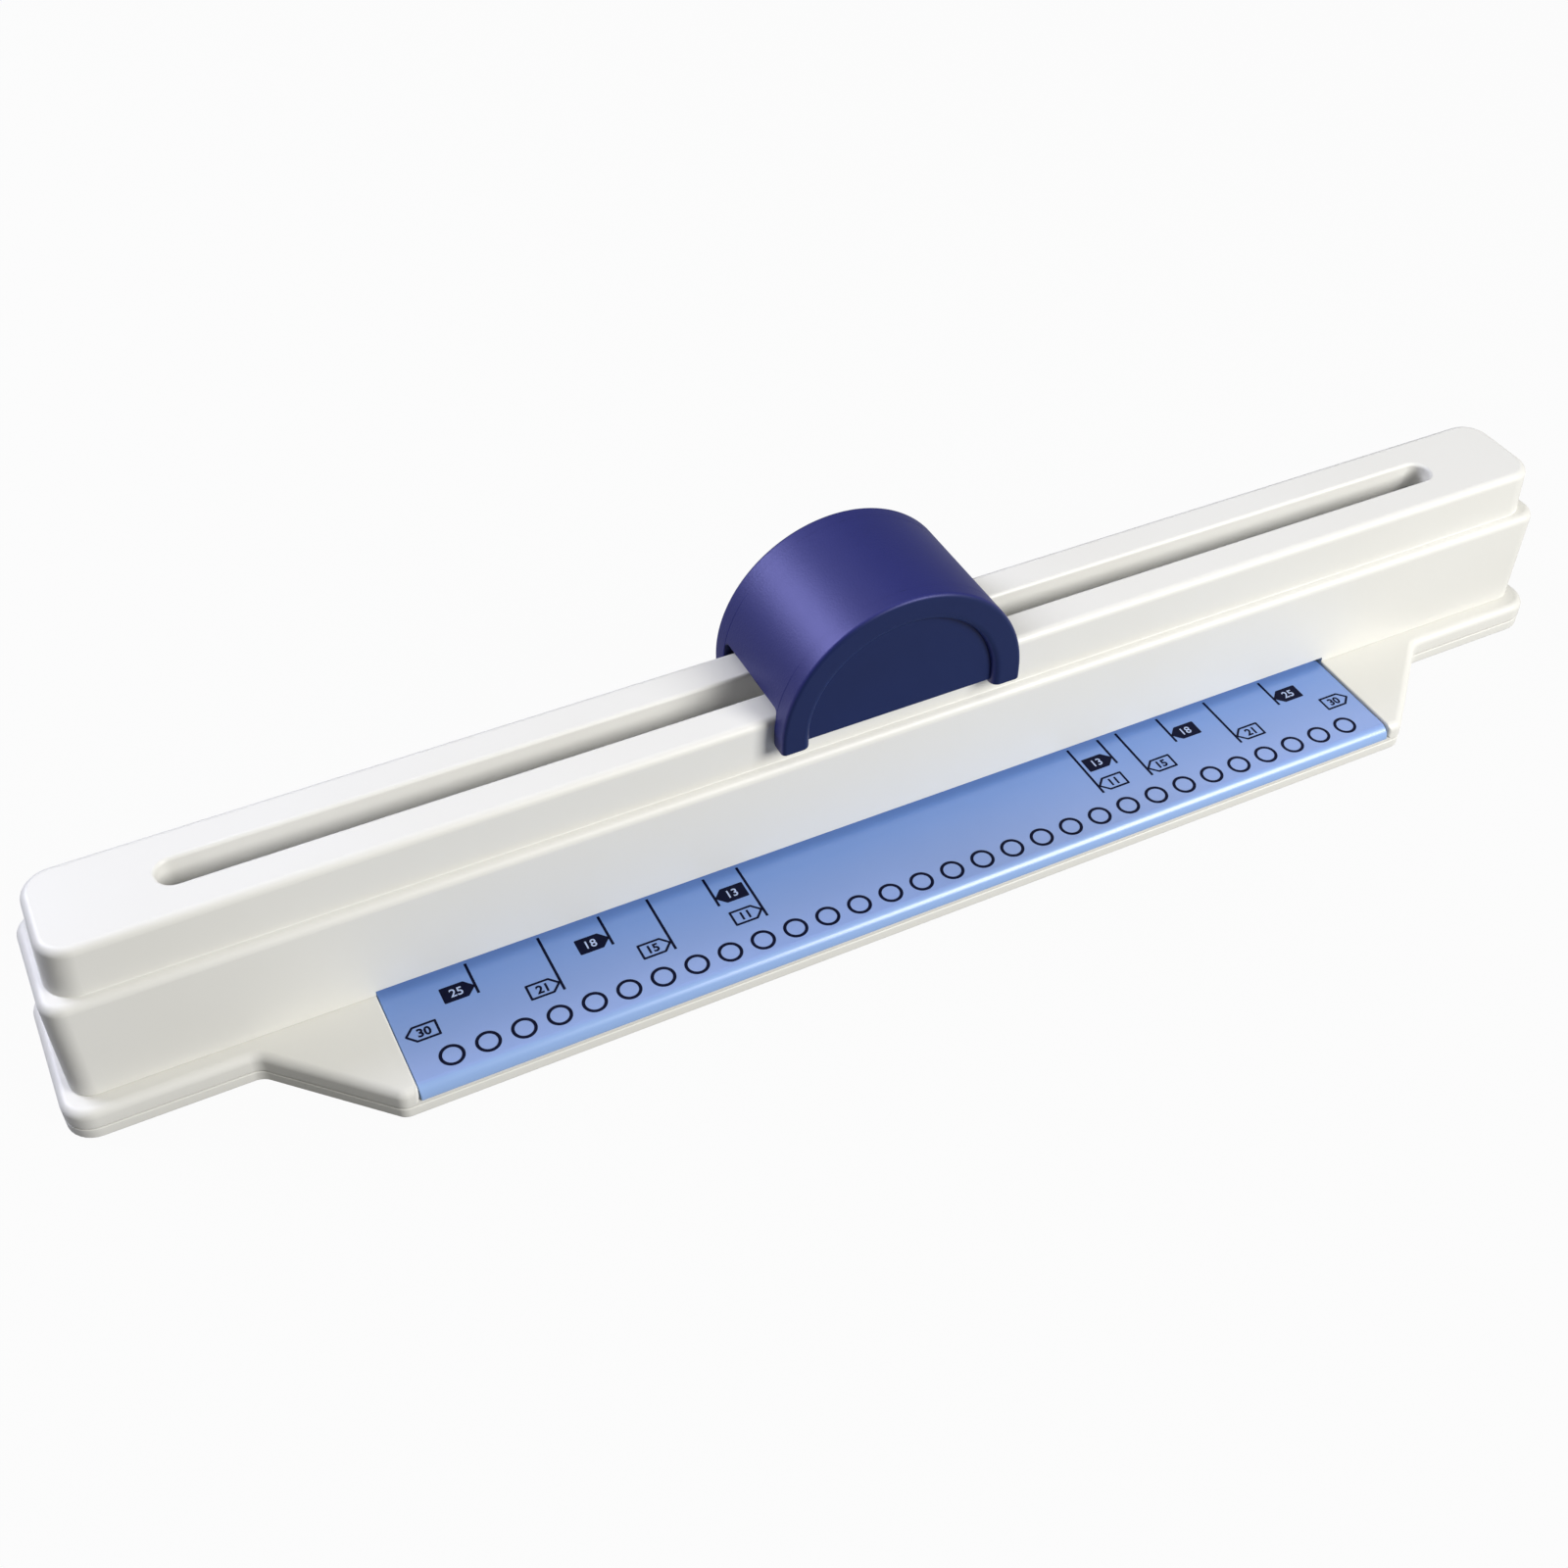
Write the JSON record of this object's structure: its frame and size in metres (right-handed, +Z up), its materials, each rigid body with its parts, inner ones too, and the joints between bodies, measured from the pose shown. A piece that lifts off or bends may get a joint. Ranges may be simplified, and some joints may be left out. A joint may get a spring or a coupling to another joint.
{
  "type": "slide hole punch",
  "caption": "Long desk punch for loose-leaf holes: a half-round slide handle runs along a slotted housing over a row of sprung punch pins, above a blue paper gauge and a pull-off chip tray.",
  "frame": {"origin": "on the table, under the middle of the base's bounding box", "axes": "+X along the body, -Y towards the paper side, +Z up"},
  "size_m": [0.4556, 0.0734, 0.088],
  "materials": {
    "ivory_abs": "fine moulded satin",
    "gauge_blue": "gloss, printed from behind",
    "handle_blue": "fine moulded texture",
    "foot_rubber": "matt",
    "plate_steel": "bright rolled",
    "pin_steel": "ground",
    "spring_steel": "drawn wire",
    "zinc_steel": "zinc plated",
    "slider_acetal": "natural acetal",
    "roller_black": "black nylon"
  },
  "bodies": {
    "body": {"base_deck": "ivory_abs", "gauge_panel": "gauge_blue", "upper_housing": "ivory_abs", "housing_screws": "zinc_steel", "die_plate": "plate_steel", "throat_spacer": "plate_steel", "channel_frame": "plate_steel", "pin_guide": "plate_steel", "return_springs": "spring_steel", "frame_screws": "zinc_steel", "frame_nuts": "zinc_steel"},
    "slider": {"slide_carriage": "slider_acetal", "press_axle": "plate_steel", "guide_axle_left": "plate_steel", "guide_axle_right": "plate_steel", "handle_shell": "handle_blue"},
    "press_roller": {"press_roller": "plate_steel"},
    "chip_tray": {"bottom_tray": "ivory_abs", "rubber_feet": "foot_rubber"},
    "guide_roller_front_left": {"guide_roller_front_left": "roller_black"},
    "guide_roller_rear_left": {"guide_roller_rear_left": "roller_black"},
    "guide_roller_front_right": {"guide_roller_front_right": "roller_black"},
    "guide_roller_rear_right": {"guide_roller_rear_right": "roller_black"},
    "punch_pin_01": {"punch_pin_01": "pin_steel"},
    "punch_pin_02": {"punch_pin_02": "pin_steel"},
    "punch_pin_03": {"punch_pin_03": "pin_steel"},
    "punch_pin_04": {"punch_pin_04": "pin_steel"},
    "punch_pin_05": {"punch_pin_05": "pin_steel"},
    "punch_pin_06": {"punch_pin_06": "pin_steel"},
    "punch_pin_07": {"punch_pin_07": "pin_steel"},
    "punch_pin_08": {"punch_pin_08": "pin_steel"},
    "punch_pin_09": {"punch_pin_09": "pin_steel"},
    "punch_pin_10": {"punch_pin_10": "pin_steel"},
    "punch_pin_11": {"punch_pin_11": "pin_steel"},
    "punch_pin_12": {"punch_pin_12": "pin_steel"},
    "punch_pin_13": {"punch_pin_13": "pin_steel"},
    "punch_pin_14": {"punch_pin_14": "pin_steel"},
    "punch_pin_15": {"punch_pin_15": "pin_steel"},
    "punch_pin_16": {"punch_pin_16": "pin_steel"},
    "punch_pin_17": {"punch_pin_17": "pin_steel"},
    "punch_pin_18": {"punch_pin_18": "pin_steel"},
    "punch_pin_19": {"punch_pin_19": "pin_steel"},
    "punch_pin_20": {"punch_pin_20": "pin_steel"},
    "punch_pin_21": {"punch_pin_21": "pin_steel"},
    "punch_pin_22": {"punch_pin_22": "pin_steel"},
    "punch_pin_23": {"punch_pin_23": "pin_steel"},
    "punch_pin_24": {"punch_pin_24": "pin_steel"},
    "punch_pin_25": {"punch_pin_25": "pin_steel"},
    "punch_pin_26": {"punch_pin_26": "pin_steel"},
    "punch_pin_27": {"punch_pin_27": "pin_steel"},
    "punch_pin_28": {"punch_pin_28": "pin_steel"},
    "punch_pin_29": {"punch_pin_29": "pin_steel"},
    "punch_pin_30": {"punch_pin_30": "pin_steel"}
  },
  "joints": [
    {"name": "handle_slide", "type": "slide", "parent": "body", "child": "slider", "axis": [1, 0, 0], "range_m": [-0.16, 0.16]},
    {"name": "tray_pull_off", "type": "slide", "parent": "body", "child": "chip_tray", "axis": [0, 0, -1], "range_m": [0, 0.03]},
    {"name": "press_roller_spin", "type": "hinge", "parent": "slider", "child": "press_roller", "pos_m": [0, 0.01375, 0.04105], "axis": [0, 1, 0], "continuous": true},
    {"name": "guide_roller_front_left_spin", "type": "hinge", "parent": "slider", "child": "guide_roller_front_left", "pos_m": [-0.0195, 0.00615, 0.04545], "axis": [0, 1, 0], "continuous": true},
    {"name": "guide_roller_rear_left_spin", "type": "hinge", "parent": "slider", "child": "guide_roller_rear_left", "pos_m": [-0.0195, 0.02135, 0.04545], "axis": [0, 1, 0], "continuous": true},
    {"name": "guide_roller_front_right_spin", "type": "hinge", "parent": "slider", "child": "guide_roller_front_right", "pos_m": [0.0195, 0.00615, 0.04545], "axis": [0, 1, 0], "continuous": true},
    {"name": "guide_roller_rear_right_spin", "type": "hinge", "parent": "slider", "child": "guide_roller_rear_right", "pos_m": [0.0195, 0.02135, 0.04545], "axis": [0, 1, 0], "continuous": true},
    {"name": "punch_pin_01_stroke", "type": "slide", "parent": "body", "child": "punch_pin_01", "axis": [0, 0, -1], "range_m": [0, 0.005], "stiffness_N_per_m": 900, "springref_m": -0.003, "deforming": ["return_springs"]},
    {"name": "punch_pin_02_stroke", "type": "slide", "parent": "body", "child": "punch_pin_02", "axis": [0, 0, -1], "range_m": [0, 0.005], "stiffness_N_per_m": 900, "springref_m": -0.003, "deforming": ["return_springs"]},
    {"name": "punch_pin_03_stroke", "type": "slide", "parent": "body", "child": "punch_pin_03", "axis": [0, 0, -1], "range_m": [0, 0.005], "stiffness_N_per_m": 900, "springref_m": -0.003, "deforming": ["return_springs"]},
    {"name": "punch_pin_04_stroke", "type": "slide", "parent": "body", "child": "punch_pin_04", "axis": [0, 0, -1], "range_m": [0, 0.005], "stiffness_N_per_m": 900, "springref_m": -0.003, "deforming": ["return_springs"]},
    {"name": "punch_pin_05_stroke", "type": "slide", "parent": "body", "child": "punch_pin_05", "axis": [0, 0, -1], "range_m": [0, 0.005], "stiffness_N_per_m": 900, "springref_m": -0.003, "deforming": ["return_springs"]},
    {"name": "punch_pin_06_stroke", "type": "slide", "parent": "body", "child": "punch_pin_06", "axis": [0, 0, -1], "range_m": [0, 0.005], "stiffness_N_per_m": 900, "springref_m": -0.003, "deforming": ["return_springs"]},
    {"name": "punch_pin_07_stroke", "type": "slide", "parent": "body", "child": "punch_pin_07", "axis": [0, 0, -1], "range_m": [0, 0.005], "stiffness_N_per_m": 900, "springref_m": -0.003, "deforming": ["return_springs"]},
    {"name": "punch_pin_08_stroke", "type": "slide", "parent": "body", "child": "punch_pin_08", "axis": [0, 0, -1], "range_m": [0, 0.005], "stiffness_N_per_m": 900, "springref_m": -0.003, "deforming": ["return_springs"]},
    {"name": "punch_pin_09_stroke", "type": "slide", "parent": "body", "child": "punch_pin_09", "axis": [0, 0, -1], "range_m": [0, 0.005], "stiffness_N_per_m": 900, "springref_m": -0.003, "deforming": ["return_springs"]},
    {"name": "punch_pin_10_stroke", "type": "slide", "parent": "body", "child": "punch_pin_10", "axis": [0, 0, -1], "range_m": [0, 0.005], "stiffness_N_per_m": 900, "springref_m": -0.003, "deforming": ["return_springs"]},
    {"name": "punch_pin_11_stroke", "type": "slide", "parent": "body", "child": "punch_pin_11", "axis": [0, 0, -1], "range_m": [0, 0.005], "stiffness_N_per_m": 900, "springref_m": -0.003, "deforming": ["return_springs"]},
    {"name": "punch_pin_12_stroke", "type": "slide", "parent": "body", "child": "punch_pin_12", "axis": [0, 0, -1], "range_m": [0, 0.005], "stiffness_N_per_m": 900, "springref_m": -0.003, "deforming": ["return_springs"]},
    {"name": "punch_pin_13_stroke", "type": "slide", "parent": "body", "child": "punch_pin_13", "axis": [0, 0, -1], "range_m": [0, 0.005], "stiffness_N_per_m": 900, "springref_m": -0.003, "deforming": ["return_springs"]},
    {"name": "punch_pin_14_stroke", "type": "slide", "parent": "body", "child": "punch_pin_14", "axis": [0, 0, -1], "range_m": [0, 0.005], "stiffness_N_per_m": 900, "springref_m": -0.003, "deforming": ["return_springs"]},
    {"name": "punch_pin_15_stroke", "type": "slide", "parent": "body", "child": "punch_pin_15", "axis": [0, 0, -1], "range_m": [0, 0.005], "stiffness_N_per_m": 900, "springref_m": -0.003, "deforming": ["return_springs"]},
    {"name": "punch_pin_16_stroke", "type": "slide", "parent": "body", "child": "punch_pin_16", "axis": [0, 0, -1], "range_m": [0, 0.005], "stiffness_N_per_m": 900, "springref_m": -0.003, "deforming": ["return_springs"]},
    {"name": "punch_pin_17_stroke", "type": "slide", "parent": "body", "child": "punch_pin_17", "axis": [0, 0, -1], "range_m": [0, 0.005], "stiffness_N_per_m": 900, "springref_m": -0.003, "deforming": ["return_springs"]},
    {"name": "punch_pin_18_stroke", "type": "slide", "parent": "body", "child": "punch_pin_18", "axis": [0, 0, -1], "range_m": [0, 0.005], "stiffness_N_per_m": 900, "springref_m": -0.003, "deforming": ["return_springs"]},
    {"name": "punch_pin_19_stroke", "type": "slide", "parent": "body", "child": "punch_pin_19", "axis": [0, 0, -1], "range_m": [0, 0.005], "stiffness_N_per_m": 900, "springref_m": -0.003, "deforming": ["return_springs"]},
    {"name": "punch_pin_20_stroke", "type": "slide", "parent": "body", "child": "punch_pin_20", "axis": [0, 0, -1], "range_m": [0, 0.005], "stiffness_N_per_m": 900, "springref_m": -0.003, "deforming": ["return_springs"]},
    {"name": "punch_pin_21_stroke", "type": "slide", "parent": "body", "child": "punch_pin_21", "axis": [0, 0, -1], "range_m": [0, 0.005], "stiffness_N_per_m": 900, "springref_m": -0.003, "deforming": ["return_springs"]},
    {"name": "punch_pin_22_stroke", "type": "slide", "parent": "body", "child": "punch_pin_22", "axis": [0, 0, -1], "range_m": [0, 0.005], "stiffness_N_per_m": 900, "springref_m": -0.003, "deforming": ["return_springs"]},
    {"name": "punch_pin_23_stroke", "type": "slide", "parent": "body", "child": "punch_pin_23", "axis": [0, 0, -1], "range_m": [0, 0.005], "stiffness_N_per_m": 900, "springref_m": -0.003, "deforming": ["return_springs"]},
    {"name": "punch_pin_24_stroke", "type": "slide", "parent": "body", "child": "punch_pin_24", "axis": [0, 0, -1], "range_m": [0, 0.005], "stiffness_N_per_m": 900, "springref_m": -0.003, "deforming": ["return_springs"]},
    {"name": "punch_pin_25_stroke", "type": "slide", "parent": "body", "child": "punch_pin_25", "axis": [0, 0, -1], "range_m": [0, 0.005], "stiffness_N_per_m": 900, "springref_m": -0.003, "deforming": ["return_springs"]},
    {"name": "punch_pin_26_stroke", "type": "slide", "parent": "body", "child": "punch_pin_26", "axis": [0, 0, -1], "range_m": [0, 0.005], "stiffness_N_per_m": 900, "springref_m": -0.003, "deforming": ["return_springs"]},
    {"name": "punch_pin_27_stroke", "type": "slide", "parent": "body", "child": "punch_pin_27", "axis": [0, 0, -1], "range_m": [0, 0.005], "stiffness_N_per_m": 900, "springref_m": -0.003, "deforming": ["return_springs"]},
    {"name": "punch_pin_28_stroke", "type": "slide", "parent": "body", "child": "punch_pin_28", "axis": [0, 0, -1], "range_m": [0, 0.005], "stiffness_N_per_m": 900, "springref_m": -0.003, "deforming": ["return_springs"]},
    {"name": "punch_pin_29_stroke", "type": "slide", "parent": "body", "child": "punch_pin_29", "axis": [0, 0, -1], "range_m": [0, 0.005], "stiffness_N_per_m": 900, "springref_m": -0.003, "deforming": ["return_springs"]},
    {"name": "punch_pin_30_stroke", "type": "slide", "parent": "body", "child": "punch_pin_30", "axis": [0, 0, -1], "range_m": [0, 0.005], "stiffness_N_per_m": 900, "springref_m": -0.003, "deforming": ["return_springs"]}
  ],
  "couplings": [
    {"joint": "press_roller_spin", "follows": "handle_slide", "rad_per_m": 160},
    {"joint": "guide_roller_front_left_spin", "follows": "handle_slide", "rad_per_m": -142.86},
    {"joint": "guide_roller_rear_left_spin", "follows": "handle_slide", "rad_per_m": -142.86},
    {"joint": "guide_roller_front_right_spin", "follows": "handle_slide", "rad_per_m": -142.86},
    {"joint": "guide_roller_rear_right_spin", "follows": "handle_slide", "rad_per_m": -142.86}
  ]
}
